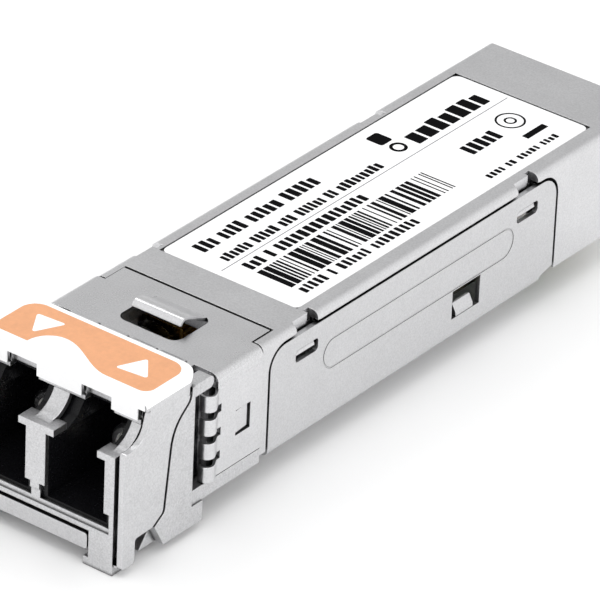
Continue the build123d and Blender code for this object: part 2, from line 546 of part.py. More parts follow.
# ---- bail and its shaft --------------------------------------------------------------------
ARM_INNER = HALF_NOSE - BAIL_SHEET
with BuildPart() as bail:
    with BuildSketch(side_plane(-HALF_NOSE)):
        with BuildLine():
            arm_rear_edge(0)
            Polyline(*points(ARM_TOP, (BAIL_REAR, ARM_TOP[1]), (BAIL_REAR, BAIL_TOP_UP),
                             (BAIL_FRONT, BAIL_TOP_UP), (BAIL_FRONT, BAIL_LIP_UP),
                             (2.5, BAIL_LIP_UP)))
            Spline(*points((2.5, BAIL_LIP_UP), (2.37, 8.6), (2.18, 7.92), (1.8, 7.38),
                           (1.1, 7.06), (0.4, 7.0)), tangents=((0, -1), (-1, 0)))
            FilletPolyline(*points((0.4, 7.0), (0.08, 7.0), (0.08, -1.27), (1.33, -1.27),
                                   (1.33, 0.45), ARM_HEEL), radius=0.22)
        make_face()
    extrude(amount=NOSE_WIDTH)
    top_edges = bail.edges().filter_by(Axis.Y).group_by(Axis.Z)[-1]
    fillet(top_edges, BAIL_BEND)
    block((-ARM_INNER, ARM_INNER), (BAIL_FRONT + 0.25, 9), (-4, BAIL_UNDER_UP), Mode.SUBTRACT)
    block((-ARM_INNER, ARM_INNER), (-1, BAIL_FRONT + 0.25), (-4, BAIL_LIP_UP), Mode.SUBTRACT)
    rear_corners(0)
    # Tabs that hang over the nose's front bars.
    tab = (BAIL_FRONT, BAIL_FRONT + 0.22)
    block((-MIDDLE_TAB, MIDDLE_TAB), tab, (BAIL_TAB_UP, BAIL_LIP_UP + 0.05))
    both_sides(*SIDE_TAB, tab, (BAIL_TAB_UP, BAIL_LIP_UP + 0.05))
    # Feet turned in under the ends of the legs.
    both_sides(HALF_CORE + 0.02, ARM_INNER + 0.01, (0.1, 1.2), (-1.27, -1.12))
    # Seats for the shaft in the inner faces of the legs.
    cross_rod(JOURNAL_RADIUS, -ARM_INNER - 0.2, ARM_INNER + 0.2, PIVOT_AFT, PIVOT_UP,
              Mode.SUBTRACT)
finish(bail, "bail")

CRANK_AFT = PIVOT_AFT + CRANK_THROW * cos(radians(CRANK_START))
CRANK_UP = PIVOT_UP + CRANK_THROW * sin(radians(CRANK_START))
with BuildPart() as bail_shaft:
    cross_rod(CRANK_RADIUS, -4.5, 4.5, CRANK_AFT, CRANK_UP)
    for side in (1, -1):
        cross_rod(JOURNAL_RADIUS, side * 4.3, side * (ARM_INNER + 0.2), PIVOT_AFT, PIVOT_UP)
finish(bail_shaft, "bail_shaft")

with BuildPart() as bail_label:
    label_front = BAIL_FRONT - LABEL_THICKNESS
    outside = (NOSE_WIDTH + 2 * LABEL_THICKNESS, 4, BAIL_BEND + LABEL_THICKNESS)
    # Sheet over the bail's top and round the bends along its sides.
    with BuildSketch(front_plane(label_front)) as wrap:
        with Locations((0, up(BAIL_TOP_UP + LABEL_THICKNESS) - 2)):
            RectangleRounded(*outside)
        with Locations((0, up(BAIL_TOP_UP) - 2)):
            RectangleRounded(NOSE_WIDTH, 4, BAIL_BEND, mode=Mode.SUBTRACT)
        with Locations((0, up(BAIL_TOP_UP - LABEL_WRAP) - 3)):
            Rectangle(NOSE_WIDTH + 1, 6, mode=Mode.SUBTRACT)
    extrude(amount=label_front - BAIL_REAR)
    rear_corners(LABEL_THICKNESS)
    # Flap down the bail's front lip, and over its three tabs.
    with BuildSketch(front_plane(BAIL_FRONT)) as flap:
        with Locations((0, up(BAIL_TOP_UP + LABEL_THICKNESS) - 2)):
            RectangleRounded(*outside)
        with Locations((0, up(BAIL_LIP_UP) - 3)):
            Rectangle(NOSE_WIDTH + 1, 6, mode=Mode.SUBTRACT)
        with Locations((0, up(BAIL_TOP_UP))):
            Rectangle(2 * FLAP_HALF, 4, mode=Mode.INTERSECT)
    extrude(amount=LABEL_THICKNESS)
    front_flap = (label_front, BAIL_FRONT)
    block((-MIDDLE_TAB, MIDDLE_TAB), front_flap, (BAIL_TAB_UP, BAIL_LIP_UP))
    both_sides(*SIDE_TAB, front_flap, (BAIL_TAB_UP, BAIL_LIP_UP))
finish(bail_label, "bail_label")

# ---- latch rocker, its axle and its spring ---------------------------------------------------
with BuildPart() as latch_rocker:
    block((-4.2, 4.2), (0.04, 1.45), (-0.82, 0.30))
    fillet(latch_rocker.edges().filter_by(Axis.Y), 0.2)
    block((-4.2, 4.2), (1.0, 4.0), (-0.05, 0.35))
    cross_rod(0.55, -5.4, 5.4, ROCKER_PIVOT_AFT, ROCKER_PIVOT_UP)
    block((-ROCKER_HALF, ROCKER_HALF), (4.0, 12.4), (-0.05, 0.35))
    side_prism(((BOSS_AFT, -BOSS_DROP), (BOSS_AFT + 0.4, -BOSS_DROP), (12.4, -0.05), (12.4, 0.3),
                (BOSS_AFT, 0.3)), -1.3, 1.3)
    # Slot that rides on the shaft's eccentric middle.
    with BuildSketch(side_plane(-5)):
        with Locations((aft(CRANK_AFT - 0.07), up(CRANK_UP))):
            SlotOverall(2 * CRANK_RADIUS + 2 * RUNNING + 0.22, 2 * (CRANK_RADIUS + RUNNING))
    extrude(amount=10, mode=Mode.SUBTRACT)
    cross_rod(ROCKER_AXLE_RADIUS + RUNNING, -6, 6, ROCKER_PIVOT_AFT, ROCKER_PIVOT_UP,
              Mode.SUBTRACT)
finish(latch_rocker, "latch_rocker")

with BuildPart() as rocker_axle:
    cross_rod(ROCKER_AXLE_RADIUS, -HALF_NOSE + 0.3, HALF_NOSE - 0.3, ROCKER_PIVOT_AFT,
              ROCKER_PIVOT_UP)
finish(rocker_axle, "rocker_axle")

with BuildPart() as latch_spring:
    with BuildSketch(side_plane(-1.1)):
        with BuildLine():
            Polyline(*points((8.95, 1.45), (9.5, 1.45), (11.7, 0.42), (12.1, 0.42)))
        trace(line_width=0.1)
    extrude(amount=2.2)
finish(latch_spring, "latch_spring")

# ---- port insert ---------------------------------------------------------------------------
with BuildPart() as port_insert:
    insert_width = (0.01 - INSERT_HALF, INSERT_HALF - 0.01)
    block(insert_width, (FRAME_THICKNESS + 0.01, 6.89), (FLOOR_TOP_UP, 8.2))
    block(insert_width, (6.89, 8.69), (FLOOR_TOP_UP, CHAMBER_TOP_UP))
    rail_seat = PORT_TOP_UP - 0.02
    side_prism(((0, rail_seat), (RAIL_REAR + 0.03, rail_seat), (2.35, 6.65), (3.15, 7.72),
                (3.15, 9), (0, 9)), -7, 7, Mode.SUBTRACT)
    for x in PORTS:
        half, narrow = PORT_WIDTH / 2, LATCH_CHANNEL_WIDTH / 2
        block((x - half, x + half), (0, 7.4), (PORT_FLOOR_UP, PORT_TOP_UP), Mode.SUBTRACT)
        block((x - narrow, x + narrow), (0, 6.5), (PORT_TOP_UP - 0.01, LATCH_CHANNEL_TOP),
              Mode.SUBTRACT)
        axial_rod(OPTIC_NOSE_RADIUS + 0.03, x, PORT_AXIS_UP, 7.3, 8.8, Mode.SUBTRACT)
finish(port_insert, "port_insert")

# ---- optics --------------------------------------------------------------------------------
SLEEVE_AFT = 5.6  # alignment sleeve
SLEEVE_LENGTH = 3.0
SLEEVE_OUTER_RADIUS = 0.95
LEAD_RADIUS = 0.2
LEADS = ((0.9, 0.9), (0.9, -0.9), (-0.9, 0.9), (-0.9, -0.9))  # across and up from the axis
for side, x in (("transmit", -PORT_X), ("receive", PORT_X)):
    with BuildPart() as barrel:
        axial_rod(OPTIC_NOSE_RADIUS, x, PORT_AXIS_UP, OPTIC_NOSE_AFT, OPTIC_FLANGE_AFT)
        axial_rod(OPTIC_FLANGE_RADIUS, x, PORT_AXIS_UP, OPTIC_FLANGE_AFT, OPTIC_BARREL_AFT)
        axial_rod(OPTIC_BARREL_RADIUS, x, PORT_AXIS_UP, OPTIC_BARREL_AFT, CAN_AFT)
        chamfer(barrel.edges().group_by(Axis.Y)[0], 0.2)
        axial_rod(SLEEVE_OUTER_RADIUS, x, PORT_AXIS_UP, OPTIC_NOSE_AFT - 0.1, 10.4, Mode.SUBTRACT)
        axial_rod(0.5, x, PORT_AXIS_UP, 10.3, CAN_AFT + 0.1, Mode.SUBTRACT)
        axial_rod(1.55, x, PORT_AXIS_UP, 12.9, CAN_AFT + 0.1, Mode.SUBTRACT)
    finish(barrel, f"{side}_barrel")
    with BuildPart() as sleeve:
        axial_rod(SLEEVE_OUTER_RADIUS, x, PORT_AXIS_UP, SLEEVE_AFT, SLEEVE_AFT + SLEEVE_LENGTH)
        axial_rod(FERRULE_BORE / 2, x, PORT_AXIS_UP, SLEEVE_AFT - 0.1,
                  SLEEVE_AFT + SLEEVE_LENGTH + 0.1, Mode.SUBTRACT)
        block((x - 0.08, x + 0.08), (SLEEVE_AFT - 0.1, SLEEVE_AFT + SLEEVE_LENGTH + 0.1),
              (PORT_AXIS_UP, PORT_AXIS_UP + 1.2), Mode.SUBTRACT)
    finish(sleeve, f"{side}_alignment_sleeve")
    with BuildPart() as stub:
        axial_rod(SLEEVE_OUTER_RADIUS, x, PORT_AXIS_UP, SLEEVE_AFT + SLEEVE_LENGTH, 10.4)
        chamfer(stub.edges().group_by(Axis.Y)[0], 0.12)
    finish(stub, f"{side}_fibre_stub")
    with BuildPart() as can:
        axial_rod(1.5, x, PORT_AXIS_UP, 13.0, CAN_AFT + 0.1)
        axial_rod(OPTIC_BARREL_RADIUS, x, PORT_AXIS_UP, CAN_AFT, CAN_AFT + 0.9)
        for dx, dz in LEADS:
            axial_rod(LEAD_RADIUS, x + dx, PORT_AXIS_UP + dz, CAN_AFT + 0.8, CAN_AFT + 2.2)
    finish(can, "laser_can" if side == "transmit" else "detector_can")
    with BuildPart() as flex:
        with BuildSketch(side_plane(x - 1.6)):
            with BuildLine():
                FilletPolyline(*points((16.3, 5.4), (16.3, BOARD_TOP_UP + 0.07),
                                       (22.0, BOARD_TOP_UP + 0.07)), radius=0.5)
            trace(line_width=0.12)
        extrude(amount=3.2)
        for dx, dz in LEADS:
            axial_rod(LEAD_RADIUS, x + dx, PORT_AXIS_UP + dz, CAN_AFT + 1.4, CAN_AFT + 2.9,
                      Mode.SUBTRACT)
    finish(flex, f"{side}_flex")

with BuildPart() as optics_clamp:
    clamp = (SADDLE_AFT, SADDLE_AFT + SADDLE_LENGTH)
    block((0.02 - HALF_CHAMBER, HALF_CHAMBER - 0.02), clamp, (PORT_AXIS_UP, CHAMBER_TOP_UP))
    block((-2.5, 2.5), clamp, (6.7, 8), Mode.SUBTRACT)
    for x in PORTS:
        axial_rod(OPTIC_BARREL_RADIUS, x, PORT_AXIS_UP, SADDLE_AFT - 0.1,
                  SADDLE_AFT + SADDLE_LENGTH + 0.1, Mode.SUBTRACT)
finish(optics_clamp, "optics_clamp")

# ---- circuit board and what is soldered to it ------------------------------------------------
with BuildPart() as circuit_board:
    block((-BOARD_WIDTH / 2, BOARD_WIDTH / 2), (BOARD_FRONT, EDGE_FRONT), (BOARD_UP, BOARD_TOP_UP))
    block((-EDGE_WIDTH / 2, EDGE_WIDTH / 2), (EDGE_FRONT, BOARD_REAR), (BOARD_UP, BOARD_TOP_UP))
    chamfer(circuit_board.edges().filter_by(Axis.X).group_by(Axis.Y)[-1], 0.25)
finish(circuit_board, "circuit_board")

with BuildPart() as edge_contacts:
    for number in range(CONTACTS_PER_SIDE):
        x = (number - (CONTACTS_PER_SIDE - 1) / 2) * CONTACT_PITCH
        for low in (BOARD_TOP_UP, BOARD_UP - CONTACT_THICKNESS):
            block((x - 0.3, x + 0.3), (48.8, BOARD_REAR - 0.3), (low, low + CONTACT_THICKNESS))
finish(edge_contacts, "edge_contacts")

CHIPS = {  # half width, front, rear, height
    "laser_driver_chip": (2.0, 24.4, 28.4, 0.85),
    "microcontroller_chip": (2.5, 32.0, 37.0, 0.9),
    "memory_chip": (1.5, 40.2, 42.4, 0.8),
}
for name, (half, front, rear, height) in CHIPS.items():
    with BuildPart() as chip:
        block((-half, half), (front, rear), (BOARD_TOP_UP, BOARD_TOP_UP + height))
        chamfer(chip.edges().group_by(Axis.Z)[-1], 0.12)
        block((0.5 - half, 0.9 - half), (front + 0.5, front + 0.9),
              (BOARD_TOP_UP + height - 0.05, BOARD_TOP_UP + height), Mode.SUBTRACT)
    finish(chip, name)

with BuildPart() as passive_components:
    for row_aft in (23.4, 29.4, 30.6, 38.2, 39.2, 43.4, 44.4):
        for column in range(6):
            x = -3.9 + column * 1.55
            block((x - 0.25, x + 0.25), (row_aft - 0.4, row_aft + 0.4),
                  (BOARD_TOP_UP, BOARD_TOP_UP + 0.45))
finish(passive_components, "passive_components")

with BuildPart() as thermal_pad:
    block((-3.0, 3.0), (26.0, 34.0), (SHEET, BOARD_UP))
    fillet(thermal_pad.edges().filter_by(Axis.Z), 0.5)
finish(thermal_pad, "thermal_pad")

# ---- label ---------------------------------------------------------------------------------
with BuildPart() as cover_label:
    left, right, front, rear = COVER_LABEL
    with BuildSketch(Plane.XY.offset(up(BODY_HEIGHT - LABEL_RECESS))):
        with Locations(((left + right) / 2, aft((front + rear) / 2))):
            RectangleRounded(right - left, rear - front, 0.6)
    extrude(amount=LABEL_THICKNESS)
finish(cover_label, "cover_label")
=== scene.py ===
"""Looks for a pluggable optical transceiver module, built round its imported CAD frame.

Blender's units are metres, as in the frame. The print on the two labels is laid out in
millimetres: x is across the module and aft is the distance behind the nose's front face.
"""

import math
import random
from collections import namedtuple

import bmesh
import bpy
from mathutils import Matrix, Vector


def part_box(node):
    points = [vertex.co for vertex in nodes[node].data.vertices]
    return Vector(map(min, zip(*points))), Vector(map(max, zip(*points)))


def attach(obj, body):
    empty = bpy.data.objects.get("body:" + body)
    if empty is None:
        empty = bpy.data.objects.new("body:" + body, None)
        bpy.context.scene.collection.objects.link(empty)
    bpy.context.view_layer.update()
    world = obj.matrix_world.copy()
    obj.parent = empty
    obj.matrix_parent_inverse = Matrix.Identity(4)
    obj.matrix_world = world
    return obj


MM = 0.001
MICRON = 1e-6
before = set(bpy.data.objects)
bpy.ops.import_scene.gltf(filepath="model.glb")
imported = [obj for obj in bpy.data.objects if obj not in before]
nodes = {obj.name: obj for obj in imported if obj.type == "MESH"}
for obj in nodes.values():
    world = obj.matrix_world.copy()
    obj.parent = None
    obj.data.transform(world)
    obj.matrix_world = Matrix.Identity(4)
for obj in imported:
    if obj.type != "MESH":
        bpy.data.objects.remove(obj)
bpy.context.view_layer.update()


# ---- node helpers ------------------------------------------------------------------------
MIX_FIRST, MIX_SECOND, MIX_RESULT = 6, 7, 2  # a Mix node's colour sockets
NOISE_LOW, NOISE_HIGH = 0.3, 0.7  # nearly all of a noise texture lies between these
CREVICE_SHUT, CREVICE_OPEN = 0.42, 0.88  # occlusion at which the painted shade is darkest, and at which it is gone
DARKEST_PAINTED_SHADE = 0.02  # share of the colour left where the painted shade is darkest, at the bottom of a crevice


class Shader:
    """A material under construction: a principled shader plus small node shortcuts."""

    def __init__(self, name, **values):
        """Values go on the shader's own sockets, with _ for a space in a socket's name."""
        self.material = bpy.data.materials.new(name)
        self.material.use_nodes = True
        self.tree = self.material.node_tree
        self.bsdf = self.tree.nodes["Principled BSDF"]
        for key, value in values.items():
            self.bsdf.inputs[key.replace("_", " ")].default_value = value
        self.coords = self.tree.nodes.new("ShaderNodeTexCoord").outputs["Object"]

    def node(self, kind, inputs=None, **settings):
        """A new node with those settings. An input is a number, a colour or another output."""
        made = self.tree.nodes.new(kind)
        for key, value in settings.items():
            setattr(made, key, value)
        for key, value in (inputs or {}).items():
            if isinstance(value, bpy.types.NodeSocket):
                self.tree.links.new(value, made.inputs[key])
            else:
                made.inputs[key].default_value = value
        return made

    def stretched(self, scale):
        """Object coordinates scaled on each axis, for brushed or drawn surfaces."""
        mapping = self.node("ShaderNodeMapping", {"Scale": scale, "Vector": self.coords})
        return mapping.outputs["Vector"]

    def noise(self, scale, detail=2.0, roughness=0.55, vector=None):
        made = self.node("ShaderNodeTexNoise",
                         {"Scale": scale, "Detail": detail, "Roughness": roughness,
                          "Vector": vector or self.coords})
        return made.outputs["Fac"]

    def cells(self, scale):
        made = self.node("ShaderNodeTexVoronoi", {"Scale": scale, "Vector": self.coords})
        return made.outputs["Distance"]

    def bands(self, scale, direction="X", distortion=0.0):
        made = self.node("ShaderNodeTexWave",
                         {"Scale": scale, "Distortion": distortion, "Vector": self.coords},
                         wave_type="BANDS", bands_direction=direction)
        return made.outputs["Fac"]

    def remap(self, value, low, high, to_low, to_high):
        """Stretch the range from low to high so that it runs from to_low to to_high."""
        made = self.node("ShaderNodeMapRange",
                         {"Value": value, "From Min": low, "From Max": high,
                          "To Min": to_low, "To Max": to_high})
        return made.outputs["Result"]

    def spread(self, noise, to_low, to_high):
        """A noise texture stretched so that it runs from to_low to to_high."""
        return self.remap(noise, NOISE_LOW, NOISE_HIGH, to_low, to_high)

    def math(self, operation, *operands):
        made = self.node("ShaderNodeMath", dict(enumerate(operands)), operation=operation)
        return made.outputs["Value"]

    def weighted(self, first, second, share):
        """The first value at that share, and the second at what is left."""
        return self.math("ADD", self.math("MULTIPLY", first, share),
                         self.math("MULTIPLY", second, 1.0 - share))

    def blend_colours(self, factor, first, second):
        """From the first colour to the second. A colour is a red, green, blue or an output."""
        first, second = ((*colour, 1.0) if isinstance(colour, tuple) else colour
                         for colour in (first, second))
        made = self.node("ShaderNodeMix", {"Factor": factor, MIX_FIRST: first,
                                           MIX_SECOND: second}, data_type="RGBA")
        return made.outputs[MIX_RESULT]

    def with_painted_shade(self, colour, reach, darkest=DARKEST_PAINTED_SHADE):
        """A colour with painted shade: darker in gaps and corners narrower than that reach in
        metres.
        """
        # painted shade: ambient occlusion darkens the colour itself
        occlusion = self.node("ShaderNodeAmbientOcclusion", {"Distance": reach}, samples=8)
        level = self.remap(occlusion.outputs["AO"], CREVICE_SHUT, CREVICE_OPEN, darkest, 1.0)
        tint = self.node("ShaderNodeCombineColor", {"Red": level, "Green": level, "Blue": level})
        product = self.node("ShaderNodeMix",
                            {"Factor": 1.0, MIX_FIRST: colour, MIX_SECOND: tint.outputs["Color"]},
                            data_type="RGBA", blend_type="MULTIPLY")
        return product.outputs[MIX_RESULT]

    def finish(self, colour, roughness, height, strength, depth, edge=0.0):
        """Colour, roughness, and bump of that depth in metres over edges of that radius."""
        bump = self.node("ShaderNodeBump",
                         {"Strength": strength, "Distance": depth, "Height": height})
        if edge:
            rounded_edges = self.node("ShaderNodeBevel", {"Radius": edge}, samples=6)
            self.tree.links.new(rounded_edges.outputs["Normal"], bump.inputs["Normal"])
        for key, output in (("Base Color", colour), ("Roughness", roughness),
                            ("Normal", bump.outputs["Normal"])):
            self.tree.links.new(output, self.bsdf.inputs[key])
        return self.material


# ---- materials: noise scales are per metre -----------------------------------------------
COOL = (0.985, 0.985, 1.0)  # tint of the plated metals
FINE_GRAIN = 9000.0  # grains of about a ninth of a millimetre
MOTTLE = 420.0
SMUDGE = 130.0
GRAIN_SHARE = 0.8  # of a metal's variation, the rest is mottle
SEAM_SHADE_REACH = 0.4 * MM  # painted shade darkens the seams between the shells within this
INSIDE_SHADE_REACH = 3.0 * MM  # pieces deep inside the shells get painted shadow within this

# Stretch of the texture on each axis: the lines run where it is least.
LINES_ALONG_X = (300.0, 5200.0, 5200.0)
LINES_ACROSS_X = (5200.0, 300.0, 300.0)
RINGS_ROUND_X = (9000.0, 600.0, 600.0)
RINGS_ROUND_Y = (400.0, 9000.0, 400.0)


def satin_metal(name, level, roughness, grain=0.10, depth=6 * MICRON, edge=70 * MICRON,
                drawn=None):
    """Satin sheet or cast metal: fine grain, faint mottling, worn edges catching the light, and
    painted shade in its seams and corners.
    """
    shader = Shader(name, Metallic=1.0)
    fine = shader.noise(FINE_GRAIN, 3.0)
    mottle = shader.noise(MOTTLE, 4.0, 0.6)
    smudge = shader.noise(SMUDGE, 2.0, 0.5)
    tone = shader.remap(shader.weighted(fine, mottle, GRAIN_SHARE), 0.32, 0.68, 0.0, 1.0)
    dark, light = (tuple(min(1.0, level * change) * part for part in COOL)
                   for change in (1.0 - grain, 1.0 + grain))
    rough = shader.spread(shader.weighted(mottle, smudge, 0.5), roughness - 0.03,
                          roughness + 0.04)
    height = fine
    if drawn:
        lines = shader.noise(1.0, 2.0, 0.5, shader.stretched(drawn))
        height = shader.weighted(fine, lines, 0.5)
    # painted shade in the seams and corners
    colour = shader.with_painted_shade(shader.blend_colours(tone, dark, light), SEAM_SHADE_REACH)
    return shader.finish(colour, rough, height, 0.35, depth, edge)


def moulded_plastic(name, colour, roughness):
    """Moulded plastic with faint flow marks and a fine spark-eroded texture."""
    shader = Shader(name, Specular_IOR_Level=0.22)
    texture = shader.noise(5200.0, 3.0)
    flow = shader.noise(350.0, 3.0)
    darker = tuple(part * 0.75 for part in colour)
    lighter = tuple(min(1.0, part * 1.3) for part in colour)
    return shader.finish(shader.blend_colours(flow, darker, lighter),
                         shader.spread(texture, roughness - 0.06, roughness + 0.06),
                         texture, 0.4, 5 * MICRON, 60 * MICRON)


def paper(name, colour, roughness=0.42, variation=0.02, sheen=0.5):
    """Coated label stock or ink: faint fibre and a soft sheen."""
    shader = Shader(name, Specular_IOR_Level=sheen)
    fibre = shader.noise(2600.0, 4.0, 0.65)
    cloud = shader.noise(240.0, 2.0)
    tone = shader.spread(shader.weighted(fibre, cloud, 0.7), 0.0, 1.0)
    low = tuple(part * (1.0 - variation) for part in colour)
    high = tuple(min(1.0, part * (1.0 + variation)) for part in colour)
    return shader.finish(shader.blend_colours(tone, low, high),
                         shader.spread(fibre, roughness - 0.05, roughness + 0.05),
                         fibre, 0.15, 3 * MICRON)


def gold_plate(name):
    """Gold over nickel, uneven in tone, with painted shade that darkens it deep inside the
    module.
    """
    deep, bright = (0.78, 0.52, 0.18), (0.98, 0.76, 0.38)
    shader = Shader(name, Metallic=1.0)
    mottle = shader.noise(900.0, 3.0)
    # painted shade deep inside the module
    return shader.finish(shader.with_painted_shade(shader.blend_colours(mottle, deep, bright), INSIDE_SHADE_REACH),
                         shader.spread(mottle, 0.2, 0.32),
                         shader.noise(7000.0), 0.2, 3 * MICRON, 40 * MICRON)


def polished_ceramic(name):
    """Warm white zirconia, which light enters a little."""
    cream, white = (0.86, 0.84, 0.77), (0.95, 0.93, 0.88)
    shader = Shader(name, Subsurface_Weight=0.08, Subsurface_Radius=(0.0004, 0.0003, 0.0002))
    cloud = shader.noise(1200.0, 3.0)
    return shader.finish(shader.blend_colours(cloud, cream, white),
                         shader.spread(cloud, 0.14, 0.24), cloud, 0.1, 2 * MICRON, 40 * MICRON)


def board_laminate(name):
    """Green solder mask over a faint woven glass cloth, bare laminate at the board's edges, with
    painted shade deep inside the module.
    """
    dark_mask, pale_mask = (0.012, 0.13, 0.045), (0.03, 0.22, 0.085)
    bare = (0.42, 0.36, 0.17)
    shader = Shader(name, Coat_Weight=0.4, Coat_Roughness=0.2)
    warp, weft = (shader.bands(700.0, direction, 0.6) for direction in "XY")
    cloth = shader.math("MULTIPLY", warp, weft)
    mask = shader.blend_colours(cloth, dark_mask, pale_mask)
    normal = shader.node("ShaderNodeNewGeometry").outputs["Normal"]
    tilt = shader.node("ShaderNodeSeparateXYZ", {"Vector": normal}).outputs["Z"]
    flat = shader.remap(shader.math("ABSOLUTE", tilt), 0.4, 0.6, 0.0, 1.0)
    # painted shade deep inside the module
    return shader.finish(shader.with_painted_shade(shader.blend_colours(flat, bare, mask), INSIDE_SHADE_REACH),
                         shader.remap(cloth, 0.0, 1.0, 0.28, 0.4),
                         cloth, 0.25, 6 * MICRON, 50 * MICRON)


def amber_film(name):
    """Flexible circuit: amber film with darker bands where the traces run, and painted shade that
    darkens it deep inside the module.
    """
    trace, film = (0.42, 0.19, 0.03), (0.70, 0.42, 0.10)
    shader = Shader(name, Transmission_Weight=0.15)
    lines = shader.remap(shader.bands(520.0), 0.45, 0.6, 0.0, 1.0)
    # painted shade deep inside the module
    colour = shader.with_painted_shade(shader.blend_colours(lines, trace, film), INSIDE_SHADE_REACH, 0.01)
    return shader.finish(colour, shader.remap(lines, 0.0, 1.0, 0.25, 0.4),
                         lines, 0.3, 8 * MICRON)


def chip_ceramic(name):
    """Small capacitors and resistors: tan or dark bodies from one to the next, speckled."""
    tan, black, fleck = (0.40, 0.27, 0.17), (0.05, 0.05, 0.055), (0.75, 0.7, 0.65)
    shader = Shader(name)
    kind = shader.remap(shader.noise(650.0, 0.0), 0.45, 0.55, 0.0, 1.0)
    speckle = shader.noise(8000.0, 2.0)
    colour = shader.blend_colours(shader.remap(speckle, 0.4, 0.8, 0.0, 0.25),
                                  shader.blend_colours(kind, tan, black), fleck)
    return shader.finish(colour, shader.spread(speckle, 0.4, 0.6),
                         speckle, 0.2, 4 * MICRON, 40 * MICRON)


def gap_pad(name):
    """Soft heat-conducting pad, crumbly and matt."""
    slate, pale = (0.36, 0.42, 0.50), (0.55, 0.61, 0.68)
    shader = Shader(name)
    crumbs = shader.cells(2600.0)
    colour = shader.blend_colours(shader.remap(crumbs, 0.0, 0.8, 0.0, 1.0), slate, pale)
    return shader.finish(colour, shader.remap(crumbs, 0.0, 0.8, 0.7, 0.85),
                         crumbs, 0.5, 20 * MICRON, 100 * MICRON)


WHITE_STOCK = (0.955, 0.955, 0.96)
MATERIALS = {
    "nose_base": satin_metal("cast_nickel", level=0.63, roughness=0.33, grain=0.16,
                             depth=24 * MICRON, edge=90 * MICRON),
    "contact_sleeve": satin_metal("sleeve_steel", level=0.69, roughness=0.28,
                                  edge=50 * MICRON, drawn=LINES_ALONG_X),
    "latch_spring": satin_metal("spring_steel", level=0.70, roughness=0.24, grain=0.06,
                                depth=3 * MICRON, edge=30 * MICRON, drawn=LINES_ALONG_X),
    "upper_cover": satin_metal("cover_steel", level=0.68, roughness=0.30, depth=8 * MICRON),
    "bottom_tray": satin_metal("tray_steel", level=0.63, roughness=0.31, depth=8 * MICRON,
                               edge=60 * MICRON),
    "bail": satin_metal("bail_steel", level=0.65, roughness=0.31, grain=0.13,
                        depth=14 * MICRON, edge=80 * MICRON),
    "latch_rocker": satin_metal("rocker_steel", level=0.62, roughness=0.30, grain=0.11,
                                depth=12 * MICRON),
    "optics_clamp": satin_metal("clamp_aluminium", level=0.80, roughness=0.36, grain=0.07,
                                depth=8 * MICRON, edge=60 * MICRON, drawn=LINES_ACROSS_X),
    "port_insert": moulded_plastic("black_plastic", (0.005, 0.005, 0.006), 0.30),
    "circuit_board": board_laminate("board_laminate"),
    "passive_components": chip_ceramic("chip_ceramic"),
    "thermal_pad": gap_pad("gap_pad"),
    "cover_label": paper("cover_label_stock", WHITE_STOCK),
    "bail_label": paper("bail_label_stock", WHITE_STOCK),
}
pin_steel = satin_metal("pin_steel", level=0.60, roughness=0.26, grain=0.08, depth=4 * MICRON,
                        edge=40 * MICRON, drawn=RINGS_ROUND_X)
barrel_steel = satin_metal("barrel_steel", level=0.68, roughness=0.25, grain=0.07,
                           depth=5 * MICRON, edge=50 * MICRON, drawn=RINGS_ROUND_Y)
zirconia = polished_ceramic("zirconia")
gold = gold_plate("gold_plate")
flex_film = amber_film("amber_film")
chip_plastic = moulded_plastic("chip_plastic", (0.022, 0.022, 0.024), 0.48)
for name in ("bail_shaft", "rocker_axle"):
    MATERIALS[name] = pin_steel
for side in ("transmit", "receive"):
    MATERIALS[f"{side}_barrel"] = barrel_steel
    MATERIALS[f"{side}_alignment_sleeve"] = zirconia
    MATERIALS[f"{side}_fibre_stub"] = zirconia
    MATERIALS[f"{side}_flex"] = flex_film
for name in ("laser_can", "detector_can", "edge_contacts"):
    MATERIALS[name] = gold
for name in ("laser_driver_chip", "microcontroller_chip", "memory_chip"):
    MATERIALS[name] = chip_plastic
for name, node in nodes.items():
    node.data.materials.clear()
    node.data.materials.append(MATERIALS[name])

black_ink = paper("black_ink", (0.002, 0.002, 0.0025), roughness=0.50, variation=0.25,
                  sheen=0.02)
grey_ink = paper("grey_ink", (0.23, 0.23, 0.24), roughness=0.40, variation=0.1)
white_ink = paper("white_ink", WHITE_STOCK)
orange_ink = paper("orange_ink", (0.76, 0.37, 0.19), variation=0.08, sheen=0.3)


# ---- flat shapes to print: x and aft in mm -------------------------------------------------
INK_DEPTH = 0.010 * MM
NOSE_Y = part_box("nose_base")[0].y


def print_piece(name, outlines, base, material, body):
    """Closed outlines as thin prisms of ink, standing on a label at that height in metres."""
    mesh = bpy.data.meshes.new(name)
    built = bmesh.new()
    for outline in outlines:
        lower, upper = ([built.verts.new((x * MM, NOSE_Y + aft * MM, z)) for x, aft in outline]
                        for z in (base, base + INK_DEPTH))
        built.faces.new(reversed(lower))
        built.faces.new(upper)
        for i in range(len(outline)):
            built.faces.new((lower[i - 1], lower[i], upper[i], upper[i - 1]))
    bmesh.ops.recalc_face_normals(built, faces=built.faces)
    built.to_mesh(mesh)
    built.free()
    piece = bpy.data.objects.new(name, mesh)
    bpy.context.scene.collection.objects.link(piece)
    mesh.materials.append(material)
    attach(piece, body)


